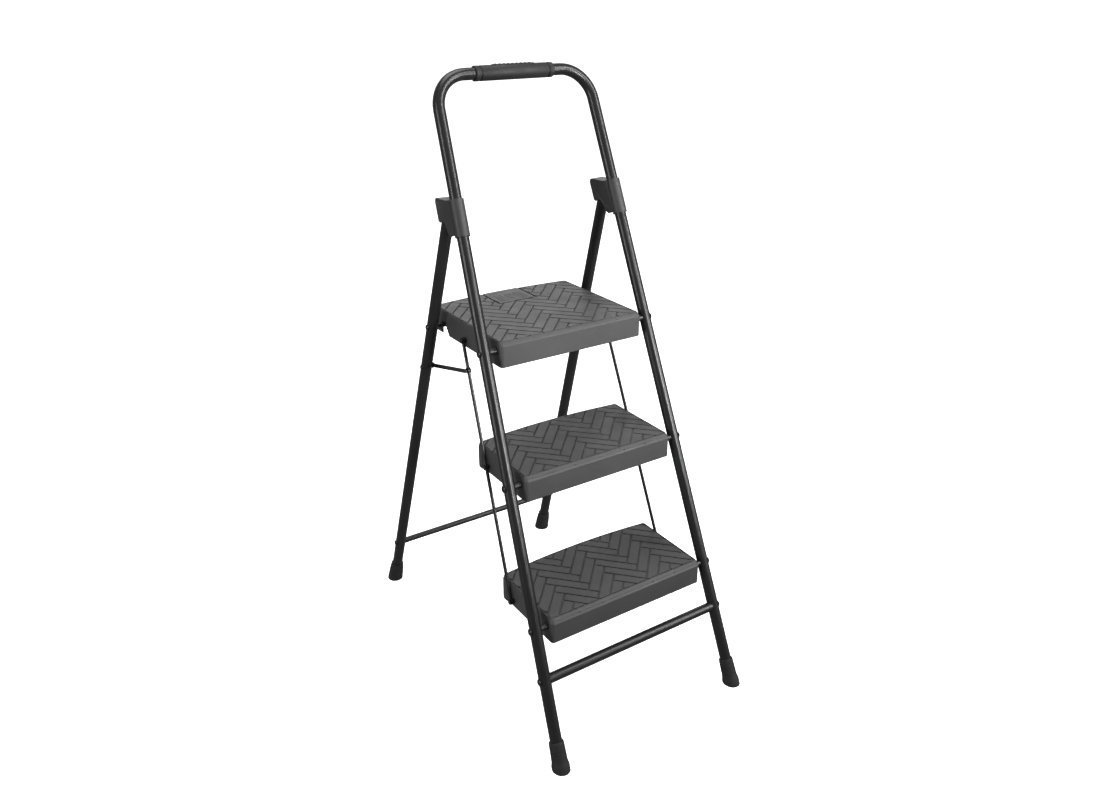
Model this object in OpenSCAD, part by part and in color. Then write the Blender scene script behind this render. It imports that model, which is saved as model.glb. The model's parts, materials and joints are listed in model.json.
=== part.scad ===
// Folding step stool with three moulded treads and a hooped hand rail, standing open.
// Units are millimetres. +X is to the right, +Y to the back, +Z up.
// The origin is on the floor, midway between the front and the rear feet.
// The front frame and the rear frame are each drawn flat and then leaned to their angle.

/* [Stance] */
// Height of the middle of the handle bar
handle_z = 1138; // [1120:1:1160]
// Distance between the front and the rear foot centres
stance_depth = 690; // [680:1:700]
// Half the distance between a pair of feet
foot_half = 202; // [198:1:206]
// Lean of the front legs from upright, in degrees
front_lean = 22.25; // [22:0.25:22.75]
// Lean of the rear legs from upright, in degrees
rear_lean = 17.2; // [17:0.1:17.4]
// Inward lean of every leg, in degrees
flare = 2; // [1.5:0.25:2.5]

/* [Tubes] */
// Outside diameter of the leg tubes
leg_d = 22; // [21:0.5:23]
// Wall thickness of the leg tubes
wall = 1.5; // [1.2:0.1:2]
// Centre-line radius of the two top bends
bend_r = 62; // [50:1:70]
// Outside diameter of the front crossbar
crossbar_d = 18; // [16:0.5:19]
// Height of the front crossbar
crossbar_z = 146; // [140:1:150]
// Diameter of the rear crossbar
rear_bar_d = 12.7; // [10:0.1:14]
// Height of the rear crossbar
rear_bar_z = 112; // [105:1:120]

/* [Steps] */
// Deck height of the bottom step
bottom_deck_z = 247; // [244:1:250]
// Deck height of the middle step
middle_deck_z = 482; // [478:1:486]
// Deck height of the top platform
top_deck_z = 703; // [700:1:706]
// Depth of the two lower steps at their corners
step_depth = 173; // [165:1:176]
// Depth of the top platform at its corners
platform_depth = 258; // [256:1:260]
// Height of the skirt round every step
skirt_h = 46.5; // [45:0.5:48]
// How far the rear edges bow out at their middle
rear_bow = 10; // [6:1:12]
// Gap from a leg's centre line to the step's side
side_gap = 23.5; // [23.5:0.25:24]
// Wall thickness of the moulded steps
shell = 3; // [2.5:0.5:3.5]
// Thickness of the decks
deck_t = 4; // [3:0.5:5]

/* [Linkage] */
// Depth of the hinge pin behind the front leg's centre line
hinge_back = 40; // [39:0.5:41]
// Distance of the link rods' pins behind the step pivots
crank_back = 113; // [112:1:114]
// Depth of the link rods' pins below the step pivots
crank_drop = 15; // [14:0.5:16]
// Diameter of the link rods
rod_d = 6.5; // [6:0.5:6.5]
// Height of the rod that the platform rests on
support_z = 675; // [674:1:676]
// Height of the fold links' rear pins
link_rear_z = 584; // [581:1:586]
// Width of the flat fold links
link_w = 7.5; // [7:0.5:8]

/* [Hidden] */
$fn = 48;
fit = 0.03;          // radial clearance of a pin that is fixed in its hole
run = 0.05;          // radial clearance of a pin that turns in its hole
pivot_drop = 18;     // step pivots lie this far below their decks
front_reach = 17.5;  // step pivots lie this far behind the front faces
head_gap = 0.3;      // gap under a rivet's domed head
foot_r = 16.5;       // rubber feet at the floor
foot_sole = 6;       // rubber under a tube's end
foot_h = 50;         // length of a rubber foot
rivet_r = 4;         // step rivets
rod_gap = 18.7;       // leg centre line to link rod centre
pin_r = 3;           // link rod pins, hinge pins
link_in = 12;        // leg centre line to the outer face of a fold link
link_t = 2.5;        // thickness of a fold link
support_d = 10;      // support rod
bracket_half = 14.2; // half thickness of a hinge bracket
latch_half = 40;     // half width of the latch lever
latch_pin = [202, 5]; // latch pin, behind and above the platform's pivot
latch_front = 180;   // front edge of the latch lever, behind the platform's pivot

metal = [0.13, 0.13, 0.14];
plastic = [0.3, 0.3, 0.31];
dark = [0.09, 0.09, 0.09];
bright = [0.7, 0.7, 0.72];

leg_r = leg_d / 2;
front_flare = atan(tan(flare) * cos(front_lean));
rear_flare = atan(tan(flare) * cos(rear_lean));

// the feet are cut flat at the floor, and their soles reach foot_r / cos(lean) along Y
y_front = -(stance_depth + foot_r / cos(rear_lean) - foot_r / cos(front_lean)) / 2;
y_rear = y_front + stance_depth;

// a leg's centre line: its Y and its distance from the middle at height z
function lead(z) = y_front + z * tan(front_lean);
function rear_lead(z) = y_rear - z * tan(rear_lean);
function half_at(z) = foot_half - z * tan(flare);
// distance along a leg from the floor to height z
function front_l(z) = z / (cos(front_lean) * cos(front_flare));
function rear_l(z) = z / (cos(rear_lean) * cos(rear_flare));

deck_zs = [bottom_deck_z, middle_deck_z, top_deck_z];
pivot_zs = [for (z = deck_zs) z - pivot_drop];
hinge_z = (stance_depth - hinge_back / cos(front_lean)) / (tan(front_lean) + tan(rear_lean));
hinge_y = rear_lead(hinge_z);

// top bends, in the plane of the front frame
bar_s = handle_z / cos(front_lean);
bend_s = bar_s - bend_r;
lap = 2;             // degrees by which a bend laps its straight tubes
bend_x = foot_half - bend_s * tan(front_flare) - bend_r / cos(front_flare);
leg_end = (bend_s + bend_r * sin(front_flare)) / cos(front_flare);

// The fold link's front pin rides with the link rod. Its height is where the link keeps
// its length with the stool open and with it folded flat, when the rear legs lie along
// the front ones and the steps have turned up by fold.
fold = 90 - front_lean;
crank_rise = [crank_back * cos(fold) + crank_drop * sin(fold) - crank_back,
    crank_back * sin(fold) - crank_drop * cos(fold) + crank_drop];
link_rear = [rear_lead(link_rear_z), link_rear_z];
link_reach = norm(link_rear - [hinge_y, hinge_z]);
link_rear_folded = [hinge_y - link_reach * sin(front_lean), hinge_z - link_reach * cos(front_lean)];
rod_back = crank_back + crank_drop * tan(front_lean); // rods behind the front legs, level
open_from = [link_rear[0] - y_front - rod_back, link_rear[1]];
folded_from = [link_rear_folded[0] - crank_rise[0] - y_front - rod_back,
    link_rear_folded[1] - crank_rise[1]];
ear_z = (norm(open_from) * norm(open_from) - norm(folded_from) * norm(folded_from))
    / (2 * ((open_from[0] - folded_from[0]) * tan(front_lean) + open_from[1] - folded_from[1]));
ear = [lead(ear_z) + rod_back, ear_z];

// ---- placing ----

// draws on a front leg's centre line, with local +Z up along the leg and +X outward
module on_front_leg(side) {
    mirror([side < 0 ? 1 : 0, 0, 0]) translate([0, y_front, 0]) rotate([-front_lean, 0, 0])
        translate([foot_half, 0, 0]) rotate([0, -front_flare, 0]) children();
}

// the same on a rear leg
module on_rear_leg(side) {
    mirror([side < 0 ? 1 : 0, 0, 0]) translate([0, y_rear, 0]) rotate([rear_lean, 0, 0])
        translate([foot_half, 0, 0]) rotate([0, -rear_flare, 0]) children();
}

// draws at a point with local +Z pointing outward, to one side
module outward(side, x, y, z) {
    mirror([side < 0 ? 1 : 0, 0, 0]) translate([x, y, z]) rotate([0, 90, 0]) children();
}

module both_sides() {
    for (side = [-1, 1]) mirror([side < 0 ? 1 : 0, 0, 0]) children();
}

// ---- shared shapes ----

module tube(length, d = leg_d) {
    difference() {
        cylinder(d = d, h = length);
        translate([0, 0, -1]) cylinder(d = d - 2 * wall, h = length + 2);
    }
}

module washer(inner_r, outer_r, h) {
    difference() {
        cylinder(r = outer_r, h = h);
        translate([0, 0, -1]) cylinder(r = inner_r, h = h + 2);
    }
}

// domed rivet head that stands on z = 0
module dome(r, h) {
    ball_r = (r * r + h * h) / (2 * h);
    rotate_extrude() intersection() {
        translate([0, h - ball_r]) circle(r = ball_r);
        square([r, h]);
    }
}

// a leg's outside, for fitting things round it
module front_leg_cut(side) {
    on_front_leg(side) translate([0, 0, -40]) cylinder(r = leg_r + fit, h = front_l(handle_z));
}

module rear_leg_cut(side) {
    on_rear_leg(side) translate([0, 0, -40]) cylinder(r = leg_r + fit, h = rear_l(hinge_z) + 80);
}

// round bar between a pair of legs, with a thinner end through each leg and a domed head
module riveted_bar(d, end_d, half, y, z) {
    both_sides() {
        difference() {
            outward(1, 0, y, z) cylinder(d = d, h = half - leg_r / 2);
            rear_leg_cut(1);
        }
        outward(1, half - leg_r, y, z) cylinder(d = end_d, h = 2 * leg_r + 1);
        outward(1, half + leg_r + head_gap, y, z) dome(end_d / 2 + 2.5, 3);
    }
}

// rubber foot round a leg's end: local Z runs up along the leg from the floor
module foot(belly) {
    difference() {
        rotate_extrude() polygon([[0, -15], [foot_r, -15], [foot_r, 8], [belly, 17],
            [leg_r + 2.8, foot_h - 3], [leg_r + 1.6, foot_h], [0, foot_h]]);
        translate([0, 0, foot_sole]) cylinder(r = leg_r + fit, h = foot_h);
    }
}

module above_floor() {
    intersection() {
        children();
        translate([-400, -600, 0]) cube([800, 1200, 200]);
    }
}

// ---- front frame ----

module front_frame_tube() {
    color(metal) difference() {
        union() {
            both_sides() {
                on_front_leg(1) translate([0, 0, foot_sole]) tube(leg_end - foot_sole);
                translate([0, y_front, 0]) rotate([-front_lean, 0, 0])
                    translate([bend_x, 0, bend_s]) rotate([90, 0, 0]) rotate([0, 0, front_flare - lap])
                        rotate_extrude(angle = 90 - front_flare + 2 * lap) translate([bend_r, 0])
                            difference() {
                                circle(r = leg_r - 0.1);
                                circle(r = leg_r - 0.1 - wall);
                            }
            }
            translate([0, y_front, 0]) rotate([-front_lean, 0, 0])
                translate([-bend_x, 0, bar_s]) rotate([0, 90, 0]) tube(2 * bend_x);
        }
        for (z = pivot_zs) both_sides()
            outward(1, half_at(z) - leg_d, lead(z), z) cylinder(r = rivet_r + fit, h = 2 * leg_d);
        both_sides() outward(1, half_at(crossbar_z) - leg_d, lead(crossbar_z), crossbar_z)
            cylinder(r = rivet_r + fit, h = 2 * leg_d);
    }
}

// moulded grip on the handle bar, with a collar at each end and a raised pad on top
module hand_grip() {
    grip_half = 82.5;
    collar = 7;
    color(dark) translate([0, y_front, 0]) rotate([-front_lean, 0, 0]) translate([0, 0, bar_s])
        difference() {
            union() {
                rotate([0, 90, 0]) {
                    cylinder(r = leg_r + 3, h = 2 * grip_half, center = true);
                    for (end = [-1, 1]) translate([0, 0, end * (grip_half - collar / 2)])
                        cylinder(r = leg_r + 4.2, h = collar, center = true);
                }
                translate([-45, -7, 0]) cube([90, 14, leg_r + 4.6]);
            }
            rotate([0, 90, 0]) cylinder(r = leg_r + fit, h = 3 * grip_half, center = true);
        }
}

module front_foot(side) {
    color(dark) above_floor() on_front_leg(side) foot(14.6);
}

module front_crossbar() {
    half = half_at(crossbar_z);
    color(metal) both_sides() difference() {
        outward(1, 0, lead(crossbar_z), crossbar_z) cylinder(d = crossbar_d, h = half - leg_r / 2);
        outward(1, -1, lead(crossbar_z), crossbar_z) cylinder(d = crossbar_d - 2 * wall, h = half - leg_d);
        outward(1, 0, lead(crossbar_z), crossbar_z) cylinder(r = rivet_r + fit, h = half);
        front_leg_cut(1);
    }
}

module front_crossbar_rivets() {
    half = half_at(crossbar_z);
    color(metal) both_sides() {
        outward(1, half - 2 * leg_r, lead(crossbar_z), crossbar_z) cylinder(r = rivet_r, h = 3 * leg_r + 1);
        outward(1, half + leg_r + head_gap, lead(crossbar_z), crossbar_z) dome(7, 3.2);
    }
}

// moulded bracket: a sleeve on the front leg and a hood over the rear leg's end
module hinge_bracket(side) {
    mid = front_l(hinge_z + hinge_back * sin(front_lean)); // level with the hinge pin, along the leg
    low = mid - 43;
    high = mid + 23;
    rear = hinge_back + 14.5;
    rise = 15;           // the hood's top stays near level as the leg leans
    skin = 2.6;
    cheek = [[0, low + 4], [18, low + 5], [25, low + 12], [29, low + 24], [33, mid - 9], [38, mid - 6.5],
        [rear - 4, mid - 6.5], [rear, mid - 3], [rear, high + rise - 6], [rear - 3, high + rise - 1],
        [rear - 6, high + rise], [leg_r + 1, high + 2], [0, high]];
    crown = [[leg_r, high], [leg_r + 1, high + 2], [rear - 6, high + rise], [rear - 3, high + rise - 1],
        [rear, high + rise - 6], [rear, mid + 6], [rear - skin, mid + 6], [rear - skin, high + rise - 7],
        [rear - 7, high + rise - 3], [leg_r, high - 1.5]];
    color(plastic) difference() {
        on_front_leg(side) union() {
            translate([0, 0, low]) cylinder(r = leg_r + 2.6, h = high - low);
            for (x = [-bracket_half, bracket_half - skin]) translate([x, 0, 0])
                rotate([90, 0, 90]) linear_extrude(skin) polygon(cheek);
            translate([-bracket_half, 0, 0]) rotate([90, 0, 90]) linear_extrude(2 * bracket_half) polygon(crown);
        }
        front_leg_cut(side);
        outward(side, half_at(hinge_z) - bracket_half + 1, hinge_y, hinge_z)
            cylinder(r = pin_r + fit, h = 2 * bracket_half - 2);
    }
}

module hinge_pins() {
    color(bright) both_sides() outward(1, half_at(hinge_z) - bracket_half + 1.1, hinge_y, hinge_z)
        cylinder(r = pin_r, h = 2 * bracket_half - 2.2);
}

// step rivets: a domed head outside the leg and a flat head inside the step
module step_rivets() {
    color(bright) for (z = pivot_zs) both_sides() {
        inner = half_at(z) - side_gap - 8.2;
        outward(1, inner, lead(z), z) cylinder(r = rivet_r, h = half_at(z) + leg_r + 1 - inner);
        outward(1, inner - 1.8, lead(z), z) cylinder(r = rivet_r + 3, h = 1.8);
        outward(1, half_at(z) + leg_r + head_gap, lead(z), z) dome(rivet_r + 3, 3.2);
    }
}

module step_spacers() {
    color(bright) for (z = pivot_zs) both_sides() difference() {
        outward(1, half_at(z) - side_gap + 0.3, lead(z), z)
            washer(rivet_r + fit, 6, side_gap - leg_r / 2);
        front_leg_cut(1);
    }
}

// ---- rear frame ----

module rear_leg(side) {
    color(metal) difference() {
        on_rear_leg(side) translate([0, 0, foot_sole]) tube(rear_l(hinge_z) + 13 - foot_sole);
        outward(side, half_at(hinge_z) - leg_d, hinge_y, hinge_z) cylinder(r = pin_r + run, h = 2 * leg_d);
        outward(side, half_at(link_rear_z) - leg_d, rear_lead(link_rear_z), link_rear_z)
            cylinder(r = pin_r + fit, h = 2 * leg_d);
        outward(side, half_at(support_z) - leg_d, rear_lead(support_z), support_z)
            cylinder(d = 7 + 2 * fit, h = 2 * leg_d);
        outward(side, half_at(rear_bar_z) - leg_d, rear_lead(rear_bar_z), rear_bar_z)
            cylinder(d = 8 + 2 * fit, h = 2 * leg_d);
    }
}

module rear_crossbar() {
    color(metal) riveted_bar(rear_bar_d, 8, half_at(rear_bar_z), rear_lead(rear_bar_z), rear_bar_z);
}

module support_rod() {
    color(metal) riveted_bar(support_d, 7, half_at(support_z), rear_lead(support_z), support_z);
}

module rear_foot(side) {
    color(dark) above_floor() on_rear_leg(side) foot(16);
}

// rivets that hold the fold links on the rear legs
module fold_link_rivets() {
    half = half_at(link_rear_z);
    color(bright) both_sides() {
        outward(1, half - link_in - link_t - 0.3, link_rear[0], link_rear[1])
            cylinder(r = pin_r, h = link_in + link_t + leg_r + 1);
        outward(1, half - link_in - link_t - 2.1, link_rear[0], link_rear[1]) cylinder(r = pin_r + 2, h = 1.8);
        outward(1, half + leg_r + head_gap, link_rear[0], link_rear[1]) dome(pin_r + 2, 2);
    }
}

// ---- steps: drawn from their pivots, +Y to the back ----

// a step's outline drawn in by inset, with its rear edge bowed out
function step_outline(half, depth, inset) =
    let (w = half - inset, rear = depth - front_reach - inset)
    concat([[-w, inset - front_reach], [w, inset - front_reach]],
        [for (t = [10:-1:-10]) [w * t / 10, rear + rear_bow * (1 - pow(t / 10, 2))]]);

// moulded tray: deck, skirt all round and ribs underneath
module step_tray(half, depth, rib_h) {
    low = pivot_drop - skirt_h;
    under = pivot_drop - deck_t;
    difference() {
        translate([0, 0, low]) linear_extrude(skirt_h) polygon(step_outline(half, depth, 0));
        translate([0, 0, low - 1]) linear_extrude(under - low + 1) polygon(step_outline(half, depth, shell));
    }
    intersection() {
        translate([0, 0, under - rib_h]) linear_extrude(rib_h + 1)
            polygon(step_outline(half, depth, shell / 2));
        union() {
            for (x = [-half * 0.64, -half * 0.34, half * 0.34, half * 0.64]) translate([x - 1.25, -30, under - 50])
                cube([2.5, depth + 60, 60]);
            for (y = [front_reach + 14, depth * 0.42]) translate([-half, y, under - 50]) cube([2 * half, 2.5, 60]);
        }
    }
    both_sides() outward(1, half - 8, 0, 0) cylinder(r = rivet_r + 4, h = 7);
    both_sides() outward(1, half - shell - 2, crank_back, -crank_drop) cylinder(r = 6.5, h = shell + 1);
}

module step_at(i) {
    translate([0, lead(pivot_zs[i]), pivot_zs[i]]) children();
}

module step_bores(half) {
    both_sides() {
        outward(1, half - 20, 0, 0) cylinder(r = rivet_r + run, h = 30);
        outward(1, half - shell - 9, crank_back, -crank_drop) cylinder(r = pin_r + fit, h = 40);
    }
}

module lower_step(i) {
    half = half_at(pivot_zs[i]) - side_gap;
    color(plastic) step_at(i) difference() {
        step_tray(half, step_depth, 24);
        step_bores(half);
    }
}

module middle_step() {
    lower_step(1);
}

module bottom_step() {
    lower_step(0);
}

// slot that drops over the support rod: the rod leaves it forward and down as the step folds
module support_notch(half) {
    y = rear_lead(support_z) - lead(pivot_zs[2]);
    z = support_z - pivot_zs[2];
    play = support_d / 2 + 0.7;
    translate([-half, 0, 0]) rotate([90, 0, 90]) linear_extrude(2 * half)
        polygon([[y - play - 0.6, z + play], [y + play, z + play], [y + play, z - 25], [y - 27, z - 25]]);
}

module top_platform() {
    half = half_at(pivot_zs[2]) - side_gap;
    under = pivot_drop - deck_t;
    color(plastic) step_at(2) difference() {
        union() {
            difference() {
                step_tray(half, platform_depth, 14);
                translate([-latch_half - 0.5, latch_front - 2.2, under - 0.3])
                    cube([2 * latch_half + 1, 100, deck_t + 1]);
            }
            both_sides() translate([latch_half + 1, latch_pin[0] - 5, latch_pin[1] - 5])
                cube([4, 10, under + 1 - latch_pin[1] + 5]);
        }
        step_bores(half);
        support_notch(half + 1);
        outward(1, -latch_half - 6, latch_pin[0], latch_pin[1]) cylinder(r = 2.5 + fit, h = 2 * latch_half + 12);
    }
}

// pins that hold the link rods on a step's sides, each with a flat head outside the rod
module rod_pins(i) {
    half = half_at(pivot_zs[i]);
    color(bright) step_at(i) both_sides() {
        outward(1, half - side_gap - shell - 2, crank_back, -crank_drop)
            cylinder(r = pin_r, h = side_gap + shell + 2 - 14);
        outward(1, half - 14.5, crank_back, -crank_drop) cylinder(r = pin_r + 1.8, h = 1.1);
    }
}

module platform_rod_pins() {
    rod_pins(2);
}

module middle_rod_pins() {
    rod_pins(1);
}

module bottom_rod_pins() {
    rod_pins(0);
}

// ---- safety latch in the rear of the platform ----

module latch_hinge_pin() {
    color(bright) step_at(2) outward(1, -latch_half - 5.2, latch_pin[0], latch_pin[1])
        cylinder(r = 2.5, h = 2 * latch_half + 10.4);
}

// return spring: the closed coil as one sleeve, with its two wire legs
module latch_spring() {
    color(bright) step_at(2) translate([0, latch_pin[0], latch_pin[1]]) {
        rotate([0, 90, 0]) translate([0, 0, -5]) washer(2.8, 4.2, 10);
        for (side = [-1, 1]) translate([side * 4.2, 0, 0]) rotate([side * 35 + 35, 0, 0])
            translate([0, 3.5, 0]) cylinder(r = 0.6, h = side < 0 ? 8.4 : 5);
    }
}

// plate flush with the deck and two hooks that reach under the support rod from behind
module latch_lever() {
    under = pivot_drop - deck_t;
    tip_y = rear_lead(support_z) - lead(pivot_zs[2]) + 1.8;
    tip_z = support_z - pivot_zs[2] - support_d / 2 - 1.8;
    back = latch_pin[0] + 10;
    color(plastic) step_at(2) difference() {
        union() {
            intersection() {
                translate([-latch_half, latch_front, under])
                    cube([2 * latch_half, 90, deck_t]);
                linear_extrude(40) polygon(step_outline(half_at(pivot_zs[2]) - side_gap, platform_depth, 0));
            }
            both_sides() translate([26, 0, 0]) rotate([90, 0, 90]) linear_extrude(6) union() {
                translate(latch_pin) circle(r = 5);
                polygon([[latch_pin[0] - 5, latch_pin[1]], [latch_pin[0] - 5, under + 1], [back + 8, under + 1],
                    [back, latch_pin[1]]]);
                polygon([[latch_pin[0], latch_pin[1] + 4], [back, latch_pin[1] + 4], [back, tip_z - 5],
                    [back - 3, tip_z - 5], [tip_y, tip_z - 2], [tip_y, tip_z], [back - 4, tip_z],
                    [back - 4, latch_pin[1] - 5], [latch_pin[0], latch_pin[1] - 5]]);
            }
        }
        outward(1, -latch_half, latch_pin[0], latch_pin[1]) cylinder(r = 2.5 + run, h = 2 * latch_half);
    }
}

// ---- link rods and fold links ----

// long rod that ties the three steps together, with an eye at each pin
module link_rod(side) {
    ys = [for (z = pivot_zs) z - crank_drop];
    color(metal) difference() {
        union() {
            translate([0, rod_back, 0]) on_front_leg(side)
                translate([-rod_gap, 0, front_l(ys[0])]) cylinder(d = rod_d, h = front_l(ys[2] - ys[0]));
            for (z = ys) outward(side, half_at(z) - rod_gap - 3, lead(z) + rod_back, z)
                cylinder(r = 6, h = 6);
            outward(side, half_at(ear_z) - rod_gap - 3, ear[0], ear[1]) cylinder(r = 5.5, h = 6);
        }
        for (z = ys) outward(side, half_at(z) - rod_gap - 8, lead(z) + rod_back, z)
            cylinder(r = pin_r + run, h = 16);
        outward(side, half_at(ear_z) - rod_gap - 8, ear[0], ear[1]) cylinder(r = 2 + fit, h = 16);
    }
}

// pin in a link rod's ear, which stops just short of the fold link
module link_pin(side) {
    end = half_at(link_rear_z) - link_in - link_t - 0.3;
    color(bright) {
        outward(side, half_at(ear_z) - rod_gap - 3.6, ear[0], ear[1])
            cylinder(r = 2, h = end - half_at(ear_z) + rod_gap + 3.6);
        outward(side, half_at(ear_z) - rod_gap - 4.6, ear[0], ear[1]) cylinder(r = 3.5, h = 1.1);
    }
}

// flat link between a rear leg and its link rod, with the head of its pin on its outer face
module fold_link(side) {
    x = half_at(link_rear_z) - link_in - link_t;
    slope = atan2(ear[1] - link_rear[1], ear[0] - link_rear[0]);
    length = norm(ear - link_rear);
    color(metal) mirror([side < 0 ? 1 : 0, 0, 0]) difference() {
        translate([x, link_rear[0], link_rear[1]]) rotate([slope, 0, 0]) rotate([90, 0, 90])
            linear_extrude(link_t) union() {
                translate([0, -link_w / 2]) square([length, link_w]);
                circle(d = link_w + 4);
                translate([length, 0]) circle(d = link_w);
            }
        outward(1, x - 5, link_rear[0], link_rear[1]) cylinder(r = pin_r + run, h = 15);
    }
    color(metal) outward(side, x + link_t - 0.5, ear[0], ear[1]) cylinder(r = 3, h = 1.5);
}

front_frame_tube();
hand_grip();
front_foot(-1);  // front_foot_left
front_foot(1);  // front_foot_right
front_crossbar();
front_crossbar_rivets();
hinge_bracket(-1);  // hinge_bracket_left
hinge_bracket(1);  // hinge_bracket_right
hinge_pins();
step_rivets();
step_spacers();
rear_leg(-1);  // rear_leg_left
rear_leg(1);  // rear_leg_right
rear_crossbar();
support_rod();
rear_foot(-1);  // rear_foot_left
rear_foot(1);  // rear_foot_right
fold_link_rivets();
top_platform();
platform_rod_pins();
latch_hinge_pin();
latch_spring();
latch_lever();
middle_step();
middle_rod_pins();
bottom_step();
bottom_rod_pins();
link_rod(-1);  // link_rod_left
link_rod(1);  // link_rod_right
link_pin(-1);  // link_pin_left
link_pin(1);  // link_pin_right
fold_link(-1);  // fold_link_left
fold_link(1);  // fold_link_right
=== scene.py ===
"""Looks of a three-tread folding step stool with a hand rail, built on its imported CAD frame. Metres."""

import json
import math

import bmesh
import bpy
from mathutils import Euler, Matrix, Vector


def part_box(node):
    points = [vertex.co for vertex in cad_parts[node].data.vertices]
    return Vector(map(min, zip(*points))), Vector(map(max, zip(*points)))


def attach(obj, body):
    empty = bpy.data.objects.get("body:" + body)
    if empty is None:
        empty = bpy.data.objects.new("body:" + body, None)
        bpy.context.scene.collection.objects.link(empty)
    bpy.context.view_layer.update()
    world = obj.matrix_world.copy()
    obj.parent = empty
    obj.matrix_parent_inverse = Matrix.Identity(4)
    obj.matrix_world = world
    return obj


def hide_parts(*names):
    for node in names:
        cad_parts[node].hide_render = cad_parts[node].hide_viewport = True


MM = 0.001

# ---- driving dimensions, the same as the CAD part's ----
FRONT_LEAN = math.radians(22.25)
REAR_LEAN = math.radians(17.2)
FLARE = math.radians(2.0)  # the legs spread towards the floor
LEG_R = 11 * MM
FOOT_R = 16.5 * MM  # rubber feet at the floor
FOOT_HALF = 202 * MM  # half the distance between a pair of feet
HANDLE_Z = 1138 * MM  # middle of the rail's tube
FRONT_REACH = 17.5 * MM  # step pivots lie this far behind the front faces
REAR_BOW = 10 * MM  # how far the middle of a step's rear edge stands behind its corners
SHELL = 3 * MM  # thickness of a step's skirt
DECK_T = 4 * MM  # thickness of a step's deck

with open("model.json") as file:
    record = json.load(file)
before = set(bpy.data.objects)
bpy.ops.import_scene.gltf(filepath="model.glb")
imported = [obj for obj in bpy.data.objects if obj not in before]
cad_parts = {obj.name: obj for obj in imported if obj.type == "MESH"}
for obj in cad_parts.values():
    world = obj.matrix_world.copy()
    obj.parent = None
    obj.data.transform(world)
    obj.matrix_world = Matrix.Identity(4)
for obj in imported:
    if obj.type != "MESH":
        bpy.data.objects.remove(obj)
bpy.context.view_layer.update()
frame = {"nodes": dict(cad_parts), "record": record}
nodes = frame["nodes"]

# ---- materials ----


def new_material(name):
    """A new node material and its shader."""
    mat = bpy.data.materials.new(name)
    mat.use_nodes = True
    return mat, mat.node_tree.nodes["Principled BSDF"]


def noise(tree, scale, detail, rough=0.5):
    """Noise over the object's own coordinates."""
    coords = tree.nodes.new("ShaderNodeTexCoord")
    tex = tree.nodes.new("ShaderNodeTexNoise")
    tex.inputs["Scale"].default_value = scale
    tex.inputs["Detail"].default_value = detail
    tex.inputs["Roughness"].default_value = rough
    tree.links.new(coords.outputs["Object"], tex.inputs["Vector"])
    return tex.outputs["Fac"]


def mapped(tree, value, low, high, start=0.3, end=0.7):
    """A value carried over from the range of start and end to that of low and high."""
    span = tree.nodes.new("ShaderNodeMapRange")
    span.inputs["From Min"].default_value = start
    span.inputs["From Max"].default_value = end
    span.inputs["To Min"].default_value = low
    span.inputs["To Max"].default_value = high
    tree.links.new(value, span.inputs["Value"])
    return span.outputs["Result"]


def mottled(tree, shader, dark, light, scale):
    """Gives the base colour patches between dark and light."""
    ramp = tree.nodes.new("ShaderNodeValToRGB")
    ramp.color_ramp.elements[0].position = 0.3
    ramp.color_ramp.elements[1].position = 0.72
    ramp.color_ramp.elements[0].color = (*dark, 1)
    ramp.color_ramp.elements[1].color = (*light, 1)
    tree.links.new(noise(tree, scale, 5), ramp.inputs["Fac"])
    tree.links.new(ramp.outputs["Color"], shader.inputs["Base Color"])


def bumped(tree, shader, height, strength, distance):
    """Raises the surface by a height value, in shading only."""
    bump = tree.nodes.new("ShaderNodeBump")
    bump.inputs["Strength"].default_value = strength
    bump.inputs["Distance"].default_value = distance
    tree.links.new(height, bump.inputs["Height"])
    tree.links.new(bump.outputs["Normal"], shader.inputs["Normal"])


def surface(name, dark, light, rough, grain, depth, strength, metallic=0.0, specular=0.5, patch=14.0):
    """A grained surface: base colour between dark and light in patches, roughness range, fine bump."""
    mat, shader = new_material(name)
    tree = mat.node_tree
    mottled(tree, shader, dark, light, patch)
    tree.links.new(mapped(tree, noise(tree, patch * 2.3, 4), *rough), shader.inputs["Roughness"])
    shader.inputs["Metallic"].default_value = metallic
    shader.inputs["Specular IOR Level"].default_value = specular
    bumped(tree, shader, noise(tree, grain, 2), strength, depth)
    return mat


def grey(value, blue=1.0):
    """A grey, with its blue scaled."""
    return (value, value, value * blue)


POWDER = surface(
    "black_powder_coat", grey(0.011, 1.03), grey(0.015, 1.03),
    rough=(0.27, 0.34), grain=2400, depth=0.03 * MM, strength=0.2,
)
TREAD = surface(
    "tread_plastic", grey(0.06, 1.02), grey(0.072, 1.02),
    rough=(0.46, 0.58), grain=1500, depth=0.1 * MM, strength=0.45,
)
HOOD = surface(
    "bracket_plastic", grey(0.034, 1.02), grey(0.042, 1.02),
    rough=(0.45, 0.55), grain=1500, depth=0.1 * MM, strength=0.5,
)
RUBBER = surface(
    "foot_rubber", grey(0.023), grey(0.031),
    rough=(0.6, 0.75), grain=900, depth=0.12 * MM, strength=0.5, specular=0.35,
)
GRIP = surface(
    "grip_rubber", grey(0.015), grey(0.021),
    rough=(0.5, 0.62), grain=1300, depth=0.1 * MM, strength=0.5, specular=0.4,
)
ZINC = surface(
    "zinc_plate", (0.5, 0.5, 0.52), (0.62, 0.62, 0.63),
    rough=(0.28, 0.42), grain=700, depth=0.05 * MM, strength=0.3, metallic=1.0,
)
BY_SLOT = {
    "black_steel": POWDER,
    "step_plastic": TREAD,
    "bracket_plastic": HOOD,
    "foot_rubber": RUBBER,
    "grip_foam": GRIP,
    "zinc_steel": ZINC,
}

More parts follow.
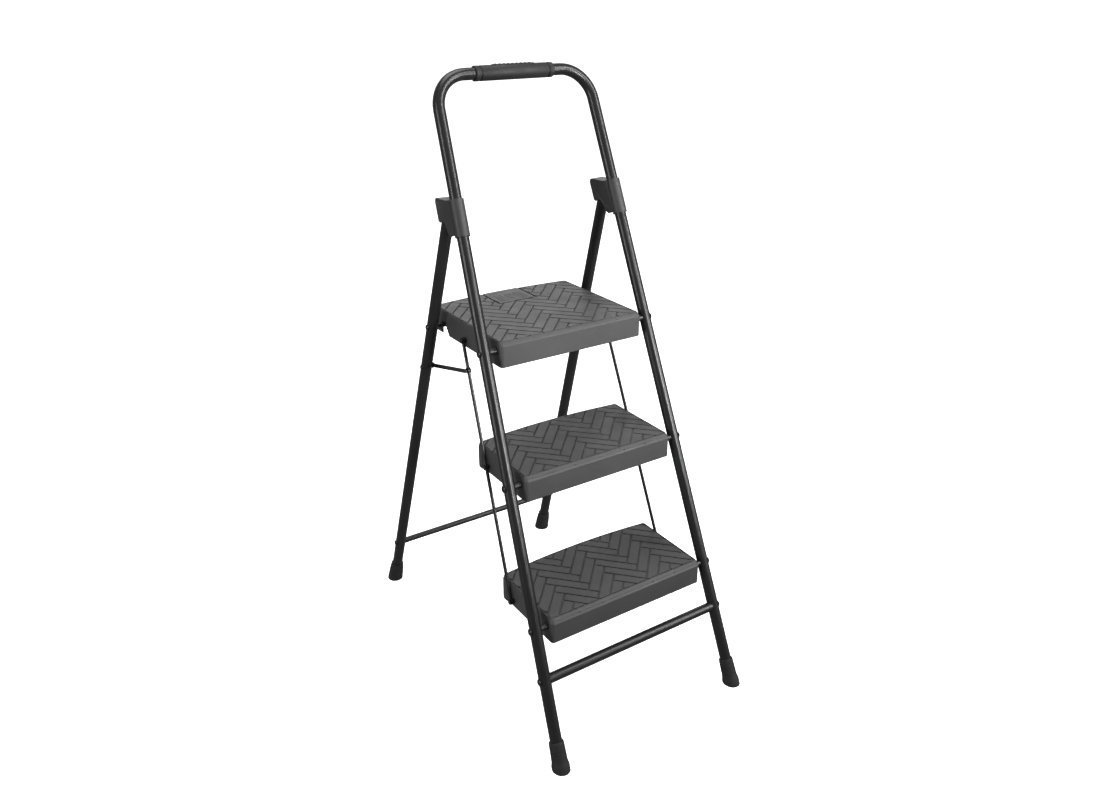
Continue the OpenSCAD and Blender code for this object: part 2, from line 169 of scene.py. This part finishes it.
for part in frame["record"]["subparts"]:
    obj = nodes[part["node"]]
    for slot in obj.material_slots:
        slot.material = BY_SLOT[part["material_slot"]]

# ---- mesh helpers ----


def add_object(name, mesh, material, body, replaced, smooth_angle=30):
    """Puts a mesh in the scene, riding on a body in place of CAD nodes; no angle keeps its shading."""
    mesh.materials.clear()
    mesh.materials.append(material)
    obj = bpy.data.objects.new(name, mesh)
    bpy.context.collection.objects.link(obj)
    if smooth_angle:
        mesh.shade_smooth()
        mesh.set_sharp_from_angle(angle=math.radians(smooth_angle))
    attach(obj, body)
    for node in replaced:
        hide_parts(node)


def mesh_from(bm, name):
    """Turns a bmesh into a mesh with its faces turned outward, and frees it."""
    bmesh.ops.recalc_face_normals(bm, faces=bm.faces)
    mesh = bpy.data.meshes.new(name)
    bm.to_mesh(mesh)
    bm.free()
    return mesh


def bridge(bm, rings, closed=False):
    """Joins loops of equal length with quads; closed also caps the first and last."""
    loops = [[bm.verts.new(p) for p in ring] for ring in rings]
    for low, high in zip(loops, loops[1:]):
        for i in range(len(low)):
            j = (i + 1) % len(low)
            bm.faces.new((low[i], low[j], high[j], high[i]))
    if closed:
        bm.faces.new(loops[0])
        bm.faces.new(loops[-1])


def turned(bm, profile, origin, axis, steps=48):
    """Revolves a loop of (along, radius) points about an axis."""
    frame_z = Vector(axis).normalized()
    aside = Vector((0, 0, 1)) if abs(frame_z.z) < 0.9 else Vector((1, 0, 0))
    frame_x = frame_z.cross(aside).normalized()
    frame_y = frame_z.cross(frame_x)
    rings = []
    for along, radius in profile:
        centre = Vector(origin) + frame_z * along
        turn = [2 * math.pi * i / steps for i in range(steps)]
        rings.append([centre + (frame_x * math.cos(a) + frame_y * math.sin(a)) * radius for a in turn])
    bridge(bm, rings + [rings[0]])
    bmesh.ops.remove_doubles(bm, verts=bm.verts, dist=1e-6)


def rectangle(x0, y0, x1, y1):
    """Corners of a rectangle, anticlockwise."""
    return [Vector((x0, y0)), Vector((x1, y0)), Vector((x1, y1)), Vector((x0, y1))]


def block(low, high):
    """Bottom and top loops of an upright block."""
    outline = rectangle(low[0], low[1], high[0], high[1])
    return [[(p.x, p.y, z) for p in outline] for z in (low[2], high[2])]


def boxed(bm, low, high):
    """Adds an upright block."""
    bridge(bm, block(low, high), closed=True)


def evaluated(obj):
    """The object's mesh with its modifiers applied."""
    graph = bpy.context.evaluated_depsgraph_get()
    return bpy.data.meshes.new_from_object(obj.evaluated_get(graph))


def bevelled_copy(node, body, material, width):
    """A copy of a CAD node with its sharp edges rounded, which stands for the node."""
    bm = bmesh.new()
    bm.from_mesh(nodes[node].data)
    bmesh.ops.remove_doubles(bm, verts=bm.verts, dist=2e-6)
    bmesh.ops.dissolve_limit(bm, angle_limit=math.radians(0.5), verts=bm.verts, edges=bm.edges)
    work = bpy.data.objects.new(node + "_work", mesh_from(bm, node + "_work"))
    work.data.shade_smooth()
    bpy.context.collection.objects.link(work)
    bevel = work.modifiers.new("bevel", "BEVEL")
    bevel.width = width
    bevel.segments = 3
    bevel.limit_method = "ANGLE"
    bevel.angle_limit = math.radians(40)
    bevel.use_clamp_overlap = True
    weigh = work.modifiers.new("flat_faces", "WEIGHTED_NORMAL")
    weigh.weight = 100
    mesh = evaluated(work)
    bpy.data.objects.remove(work)
    add_object(node + "_soft_edges", mesh, material, body, [node], smooth_angle=None)


# ---- steps ----

TREAD_CELL = (14 * MM, 15 * MM)  # how far a plank's width runs across the stool and back
PLANK_CELLS = 4  # a plank's length, in widths
TREAD_ORIGIN = (63.5 * MM, 10.5 * MM)  # corner of a plank, from the middle of a step's pivot line
GROOVE = 2.8 * MM
RELIEF = 2 * MM  # depth of the grooves
CORNER_R = 7 * MM
SIDE_BEVEL = 2.2 * MM
LOWER_FRONT_BEVEL = 8 * MM
PLATFORM_FRONT_BEVEL = 7 * MM
BORDER = 0.8 * MM  # flat border of the tread
BORDER_SLOPE = 0.4 * MM
RIB_T = 2.5 * MM


def cut_by(poly, point, inward):
    """The part of a convex polygon on the inward side of a line."""
    out = []
    for a, b in zip(poly, poly[1:] + poly[:1]):
        da, db = (a - point).dot(inward), (b - point).dot(inward)
        if da >= 0:
            out.append(a)
        if (da > 0 > db) or (da < 0 < db):
            out.append(a.lerp(b, da / (da - db)))
    return out


def shrunk(poly, margin):
    """A convex anticlockwise polygon with its edges moved inward by margin."""
    out = list(poly)
    for a, b in zip(poly, poly[1:] + poly[:1]):
        edge = b - a
        if edge.length < 1e-7:
            continue
        inward = Vector((-edge.y, edge.x)).normalized()
        out = cut_by(out, a + inward * margin, inward)
    return out


def clipped(poly, region):
    """The part of a polygon inside a convex anticlockwise region."""
    for a, b in zip(region, region[1:] + region[:1]):
        edge = b - a
        poly = cut_by(poly, a, Vector((-edge.y, edge.x)).normalized())
        if len(poly) < 3:
            return []
    return poly


def spread(poly):
    """Drops points that lie almost on each other."""
    out = [p for p, q in zip(poly, poly[1:] + poly[:1]) if (p - q).length > 0.3 * MM]
    return out if len(out) > 2 else []


def area(poly):
    """Area of a polygon, positive when it is anticlockwise."""
    return sum(a.x * b.y - b.x * a.y for a, b in zip(poly, poly[1:] + poly[:1])) / 2


def planks(region, origin):
    """Herringbone over a region, of planks that run to the right and back or to the left and back."""
    run, rise = TREAD_CELL
    right, left = Vector((run, rise)), Vector((-run, rise))
    period = 2 * PLANK_CELLS
    least_area = 40 * MM * MM
    diagonals, strips = range(-24, 25), range(-4, 5)  # more than any step needs
    found = []
    for i in diagonals:
        for k in strips:
            for corner, along, across in (
                (right * (i + period * k) + left * i, right, left),
                (right * i + left * (i + 1 + period * k), left, right),
            ):
                start = origin + corner
                end = start + along * PLANK_CELLS
                quad = [start, end, end + across, start + across]
                if area(quad) < 0:
                    quad.reverse()
                poly = spread(clipped(shrunk(quad, GROOVE / 2), region))
                if poly and area(poly) > least_area:
                    found.append(poly)
    return found


def plank_solid(bm, poly, floor, top):
    """One plank with sloping sides, let a little into the floor."""
    slope = 0.35 * MM
    inlet = 0.3 * MM
    sharpest = 0.35  # limits how far a sharp corner of the top moves in
    crown = []
    count = len(poly)
    for i, p in enumerate(poly):
        before, after = (p - poly[i - 1]).normalized(), (poly[(i + 1) % count] - p).normalized()
        from_last, from_next = Vector((-before.y, before.x)), Vector((-after.y, after.x))
        inward = from_last + from_next
        crown.append(p + inward * slope / max(1 + from_last.dot(from_next), sharpest))
    levels = [(poly, floor - inlet), (poly, floor), (crown, top)]
    bridge(bm, [[(p.x, p.y, z) for p in ring] for ring, z in levels], closed=True)


def rim(box, front_in, side_in, z, corner):
    """Outline of a step at one height, drawn in from its front and from its sides and rear."""
    low, high = box
    half, front = high.x - side_in, low.y + front_in
    rear = high.y - REAR_BOW - side_in
    radius = max(corner - min(front_in, side_in), 0.6 * MM)
    inner = half - radius
    arc = [math.radians(a) for a in range(0, 91, 15)]

    def bow(x):
        return rear + REAR_BOW * (1 - (x / half) ** 2)

    right = [(inner + radius * math.sin(a), front + radius - radius * math.cos(a)) for a in arc]
    right += [(inner + radius * math.cos(a), bow(inner) - radius + radius * math.sin(a)) for a in arc]
    right += [(t / 10 * inner, bow(t / 10 * inner)) for t in range(9, 0, -1)]
    points = right + [(0, bow(0))] + [(-x, y) for x, y in reversed(right)]
    return [(x, y, z) for x, y in points]


def step_shell(box, front_bevel):
    """Moulded tray: skirt, bevelled edge and sunk tread floor."""
    low, high = box
    top, bottom = high.z, low.z
    early, late = 0.1, 0.84  # points of the rounded edge, as parts of the bevel
    bm = bmesh.new()
    rings = [
        (SHELL, SHELL, top - DECK_T),
        (SHELL, SHELL, bottom),
        (0.7 * MM, 0.7 * MM, bottom),
        (0, 0, bottom + 0.9 * MM),
        (0, 0, top - front_bevel),
        (early * front_bevel, early * SIDE_BEVEL, top - late * front_bevel),
        (late * front_bevel, late * SIDE_BEVEL, top - early * front_bevel),
        (front_bevel, SIDE_BEVEL, top),
        (front_bevel + BORDER, SIDE_BEVEL + BORDER, top),
        (front_bevel + BORDER + BORDER_SLOPE, SIDE_BEVEL + BORDER + BORDER_SLOPE, top - RELIEF),
    ]
    bridge(bm, [rim(box, f, s, z, CORNER_R) for f, s, z in rings], closed=True)
    return bm


def ribs(bm, box, rib_h):
    """Stiffening ribs under the tread, let a little into it."""
    low, high = box
    under = high.z - DECK_T
    bottom, top = under - rib_h, under + 0.5 * MM
    half, depth = high.x, high.y - low.y - REAR_BOW
    lap = 2 * MM  # from the outside of the skirt to a rib's end
    for part in (-0.64, -0.34, 0.34, 0.64):
        x = half * part
        rear = high.y - REAR_BOW * part * part - lap
        boxed(bm, (x - RIB_T / 2, low.y + lap, bottom), (x + RIB_T / 2, rear, top))
    for y in (low.y + 2 * FRONT_REACH + 14 * MM, low.y + FRONT_REACH + depth * 0.42):
        boxed(bm, (-half + lap, y, bottom), (half - lap, y + RIB_T, top))


def tread_region(box, front_bevel):
    """Outline of the planks, half a groove in from the border."""
    margin = BORDER + BORDER_SLOPE + GROOVE / 2
    points = rim(box, front_bevel + margin, SIDE_BEVEL + margin, z=0, corner=4 * MM)
    return [Vector((x, y)) for x, y, _ in points]


def lay_planks(bm, box, regions):
    """Fills regions of a tread with planks."""
    low, high = box
    origin = Vector((0, low.y + FRONT_REACH)) + Vector(TREAD_ORIGIN)
    for region in regions:
        for poly in planks(region, origin):
            plank_solid(bm, poly, high.z - RELIEF, high.z)


def corner_posts(bm, box):
    """Thick rear end of each side wall, which reaches a little below the skirt."""
    low, high = box
    rear = high.y - REAR_BOW
    proud = 0.9 * MM
    levels = (
        (0.7 * MM, low.z - 2.4 * MM),
        (0, low.z - 1.6 * MM),
        (0, high.z - 5 * MM),
        (proud, high.z - 4 * MM),
    )
    for side in (-1, 1):
        rings = []
        for inset, z in levels:
            x0, x1 = side * (high.x - 2 * MM), side * (high.x + proud - inset)
            outline = rectangle(x0, rear - 19 * MM + inset, x1, rear - 7 * MM - inset)
            rings.append([(p.x, p.y, z) for p in outline])
        bridge(bm, rings, closed=True)


def lower_step(node):
    """Middle or bottom step, in one moulding."""
    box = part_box(node)
    bm = step_shell(box, LOWER_FRONT_BEVEL)
    ribs(bm, box, rib_h=24 * MM)
    lay_planks(bm, box, [tread_region(box, LOWER_FRONT_BEVEL)])
    corner_posts(bm, box)
    add_object(node + "_moulding", mesh_from(bm, node), TREAD, node, [node])


def carve(mesh, solids, name):
    """Cuts closed solids, given as loops to bridge, out of a mesh."""
    base = bpy.data.objects.new(name, mesh)
    bpy.context.collection.objects.link(base)
    for rings in solids:
        bm = bmesh.new()
        bridge(bm, rings, closed=True)
        tool = bpy.data.objects.new("tool", mesh_from(bm, "tool"))
        bpy.context.collection.objects.link(tool)
        cut = base.modifiers.new("cut", "BOOLEAN")
        cut.operation = "DIFFERENCE"
        cut.solver = "EXACT"
        cut.object = tool
    result = evaluated(base)
    for obj in [m.object for m in base.modifiers] + [base]:
        bpy.data.objects.remove(obj)
    return result


def support_notch(half):
    """Room for the support rod in the platform's sides, open below and widening to the front there."""
    rod_low, rod_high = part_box("support_rod")
    y, z = (rod_low.y + rod_high.y) / 2, (rod_low.z + rod_high.z) / 2
    play = 5.7 * MM
    depth = 25 * MM
    outline = [
        (y - play - 0.6 * MM, z + play),
        (y + play, z + play),
        (y + play, z - depth),
        (y - 27 * MM, z - depth),
    ]
    return [[(x, py, pz) for py, pz in outline] for x in (-half, half)]


def platform():
    """Top platform: a tray with a latch opening and notches, and planks round the opening."""
    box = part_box("top_platform")
    high = box[1]
    lever_low, lever_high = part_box("latch_lever")
    side_gap, front_gap = 2 * MM, 3.2 * MM
    hole_x, hole_y = lever_high.x + side_gap, lever_low.y - front_gap
    past_rear = hole_y + 120 * MM
    hole = block(
        (-hole_x, hole_y, high.z - DECK_T - 0.3 * MM),
        (hole_x, past_rear, high.z + 2 * MM),
    )
    mesh = mesh_from(step_shell(box, PLATFORM_FRONT_BEVEL), "platform")
    mesh = carve(mesh, [support_notch(high.x + 1 * MM), hole], "platform")
    add_object("top_platform_moulding", mesh, TREAD, "top_platform", ["top_platform"])

    region = tread_region(box, PLATFORM_FRONT_BEVEL)
    far = 1  # past every edge of the step, in metres
    margin = 1.4 * MM
    edge_x, edge_y = hole_x + margin, hole_y - margin
    around = (
        rectangle(-far, -far, far, edge_y),
        rectangle(-far, edge_y, -edge_x, far),
        rectangle(edge_x, edge_y, far, far),
    )
    bm = bmesh.new()
    lay_planks(bm, box, [clipped(part, region) for part in around])
    ribs(bm, box, rib_h=14 * MM)
    add_object("top_platform_tread", mesh_from(bm, "tread"), TREAD, "top_platform", [])


# ---- grip and feet ----


def grip_sleeve(place):
    """Moulded sleeve with a collar and a groove at each end."""
    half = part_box("hand_grip")[1].x
    wide = LEG_R + 2.8 * MM
    end = [
        (0, LEG_R + 0.1 * MM),
        (0, LEG_R + 2 * MM),
        (1 * MM, wide),
        (9 * MM, wide),
        (10 * MM, LEG_R + 2.2 * MM),
        (10.3 * MM, LEG_R + 1.3 * MM),
        (12 * MM, LEG_R + 1.3 * MM),
        (12.5 * MM, LEG_R + 2.3 * MM),
        (13.5 * MM, wide),
    ]
    profile = [(x - half, r) for x, r in end] + [(half - x, r) for x, r in reversed(end)]
    bm = bmesh.new()
    turned(bm, profile, place, (1, 0, 0), steps=64)
    add_object("grip_sleeve", mesh_from(bm, "grip"), GRIP, "front_frame", ["hand_grip"], smooth_angle=35)


def grip_pad(place):
    """Raised pad on top of the sleeve, crossed by nine ribs."""
    half = 45 * MM
    inner, outer = LEG_R + 2 * MM, LEG_R + 3.9 * MM
    rib_top = outer + 0.7 * MM
    rib_half, rib_pitch = 1.6 * MM, 9 * MM
    shoulder = 0.35  # height of the pad's ends, as a part of its full height
    arc = [math.radians(a) for a in range(-36, 37, 6)]
    section = [(math.sin(a), math.cos(a)) for a in arc]

    def slice_at(x, points, top):
        upper = [(x, s * top, c * top) for s, c in points]
        return upper + [(x, s * inner, c * inner) for s, c in reversed(points)]

    ends = ((half, 0), (half - 1.2 * MM, 0.8), (half - 2.4 * MM, 1))
    shape = [(-x, swell) for x, swell in ends] + list(reversed(ends))
    bm = bmesh.new()
    loops = []
    for x, swell in shape:
        top = inner + (outer - inner) * (shoulder + (1 - shoulder) * swell)
        loops.append(slice_at(x, section, top))
    bridge(bm, loops, closed=True)
    for i in range(-4, 5):
        middle = i * rib_pitch
        sides = (middle - rib_half, middle + rib_half)
        bridge(bm, [slice_at(x, section[3:-3], rib_top) for x in sides], closed=True)
    bm.transform(Matrix.Translation(place) @ Matrix.Rotation(-FRONT_LEAN, 4, "X"))
    add_object("grip_pad", mesh_from(bm, "pad"), GRIP, "front_frame", [], smooth_angle=35)


def foot_y(node, lean):
    """Y of a leg's centre line at the floor, from the reach of its foot's sole."""
    low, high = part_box(node)
    reach = FOOT_R / math.cos(lean)
    return low.y + reach if lean == FRONT_LEAN else high.y - reach


def foot(node, body, side, lean, belly):
    """Rubber boot: a sole cut flat at the floor, a belly and three grooves below the neck."""
    toward = 1 if lean == FRONT_LEAN else -1
    axis = (-side * math.tan(FLARE), toward * math.tan(lean), 1)
    origin = (side * FOOT_HALF, foot_y(node, lean), 0)
    neck_r = LEG_R + 2.8 * MM
    bore_r = LEG_R + 0.15 * MM
    groove = 0.7 * MM
    below = -15 * MM
    tube_end, top = 6 * MM, 50 * MM
    screw_r = 2 * MM
    profile = [
        (below, FOOT_R),
        (7 * MM, FOOT_R),
        (9 * MM, FOOT_R - 0.5 * MM),
        (12 * MM, FOOT_R - 1.3 * MM),
        (14 * MM, belly + 0.1 * MM),
        (17 * MM, belly),
        (19 * MM, belly - 0.2 * MM),
    ]
    for ring in (23 * MM, 28 * MM, 33 * MM):
        wide = belly + (neck_r - belly) * (ring - 19 * MM) / (28 * MM)
        profile += [
            (ring - 1.4 * MM, wide),
            (ring - 0.9 * MM, wide - groove),
            (ring + 0.3 * MM, wide - groove),
            (ring + 0.8 * MM, wide),
        ]
    profile += [
        (44 * MM, neck_r + 0.1 * MM),
        (47.5 * MM, neck_r - 0.2 * MM),
        (49.4 * MM, neck_r - 0.9 * MM),
        (top, neck_r - 1.8 * MM),
        (top, bore_r),
        (tube_end, bore_r),
        (tube_end, screw_r),
        (below, screw_r),
    ]
    bm = bmesh.new()
    turned(bm, profile, origin, axis)
    geometry = bm.verts[:] + bm.edges[:] + bm.faces[:]
    cut = bmesh.ops.bisect_plane(
        bm, geom=geometry, plane_co=(0, 0, 0), plane_no=(0, 0, -1), clear_outer=True
    )
    edges = [e for e in cut["geom_cut"] if isinstance(e, bmesh.types.BMEdge)]
    bmesh.ops.bridge_loops(bm, edges=edges)
    add_object(node + "_rubber", mesh_from(bm, node), RUBBER, body, [node])


def latch_plate():
    """The latch lever with soft edges, and rows of short ridges on its plate."""
    bevelled_copy("latch_lever", "latch", TREAD, 0.6 * MM)
    low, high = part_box("latch_lever")
    half_x, half_y = 9 * MM, 1.6 * MM
    draft = 0.6 * MM
    first_row, row_pitch, column_pitch = 10 * MM, 8 * MM, 22 * MM
    levels = ((0, high.z - 0.5 * MM), (0, high.z + 0.05 * MM), (draft, high.z + 0.7 * MM))
    bm = bmesh.new()
    for row in range(5):
        y = low.y + first_row + row * row_pitch
        for column in (-1, 0, 1):
            x = column * column_pitch
            rings = []
            for inset, z in levels:
                reach_x, reach_y = half_x - inset, half_y - inset
                outline = rectangle(x - reach_x, y - reach_y, x + reach_x, y + reach_y)
                rings.append([(p.x, p.y, z) for p in outline])
            bridge(bm, rings, closed=True)
    add_object("latch_ridges", mesh_from(bm, "ridges"), TREAD, "latch", [])


for step in ("bottom_step", "middle_step"):
    lower_step(step)
platform()
grip_middle = (0, foot_y("front_foot_left", FRONT_LEAN) + HANDLE_Z * math.tan(FRONT_LEAN), HANDLE_Z)
grip_sleeve(grip_middle)
grip_pad(grip_middle)
for word, way in (("left", -1), ("right", 1)):
    foot("front_foot_" + word, "front_frame", way, FRONT_LEAN, belly=14.6 * MM)
    foot("rear_foot_" + word, "rear_frame", way, REAR_LEAN, belly=16 * MM)
    bevelled_copy("hinge_bracket_" + word, "front_frame", HOOD, 0.9 * MM)
latch_plate()

# ---- backdrop, lights and camera ----


def stage_backdrop():
    """White floor and walls that only the camera sees."""
    mat, shader = new_material("white_backdrop")
    shader.inputs["Base Color"].default_value = (1, 1, 1, 1)
    shader.inputs["Specular IOR Level"].default_value = 0
    shader.inputs["Emission Color"].default_value = (1, 1, 1, 1)
    shader.inputs["Emission Strength"].default_value = 1.2
    reach, height = 40, 60
    below_feet = 0.2 * MM
    bm = bmesh.new()
    boxed(bm, (-reach, -reach, -below_feet), (reach, reach, height))
    backdrop = bpy.data.objects.new("backdrop", mesh_from(bm, "backdrop"))
    backdrop.data.materials.append(mat)
    backdrop.visible_diffuse = False
    backdrop.visible_glossy = False
    backdrop.visible_transmission = False
    backdrop.visible_shadow = False
    bpy.context.collection.objects.link(backdrop)


def add_lamp(data, place, target):
    """Hangs a light, which the camera doesn't see, pointing at its target."""
    lamp = bpy.data.objects.new(data.name, data)
    lamp.location = place
    lamp.rotation_euler = (Vector(target) - Vector(place)).to_track_quat("-Z", "Y").to_euler()
    lamp.visible_camera = False
    bpy.context.collection.objects.link(lamp)


def area_light(name, place, target, width, height, radiance):
    """A soft box of a given radiance."""
    data = bpy.data.lights.new(name, "AREA")
    data.shape = "RECTANGLE"
    data.size = width
    data.size_y = height
    data.energy = radiance * math.pi * width * height
    add_lamp(data, place, target)


def spot_light(name, place, target, angle, power):
    """A soft spot, brightest at its target."""
    data = bpy.data.lights.new(name, "SPOT")
    data.spot_size = math.radians(angle)
    data.spot_blend = 1
    data.shadow_soft_size = 0.3
    data.energy = power
    add_lamp(data, place, target)


def lights():
    """Dim white surroundings, five soft boxes and a spot on the platform and the rail."""
    world = bpy.data.worlds.new("studio")
    world.use_nodes = True
    background = world.node_tree.nodes["Background"]
    background.inputs["Color"].default_value = (1, 1, 1, 1)
    background.inputs["Strength"].default_value = 0.22
    bpy.context.scene.world = world
    area_light("overhead", (0.1, 0.3, 3.0), (0, 0, 0.6), 1.4, 1.4, 4.2)
    area_light("edge_box", (1.3, -1.3, 2.3), (0, -0.1, 0.5), 0.7, 0.7, 9)
    area_light("front_strip", (2.3, -2.5, 1.6), (0, -0.1, 0.8), 0.35, 2.2, 24)
    area_light("rear_sheet", (1.2, 3.4, 1.9), (0, 0, 0.5), 4.0, 2.2, 1.3)
    area_light("left_strip", (-3.2, -0.3, 1.4), (0, 0, 0.7), 0.45, 2.2, 11)
    spot_light("front_top", (0.7, -2.7, 1.25), (0, 0, 0.86), 31, 265)


def camera():
    """The main view, from the front left and a little above."""
    data = bpy.data.cameras.new("camera")
    data.lens = 30.936
    data.sensor_width = 36
    data.shift_y = -0.05
    cam = bpy.data.objects.new("camera", data)
    cam.location = (-0.92495, -1.40973, 1.2824)
    cam.rotation_euler = Euler((math.radians(69.243), 0, math.radians(-33.301)))
    bpy.context.collection.objects.link(cam)
    bpy.context.scene.camera = cam


stage_backdrop()
lights()
camera()
bpy.context.scene.view_settings.view_transform = "Standard"
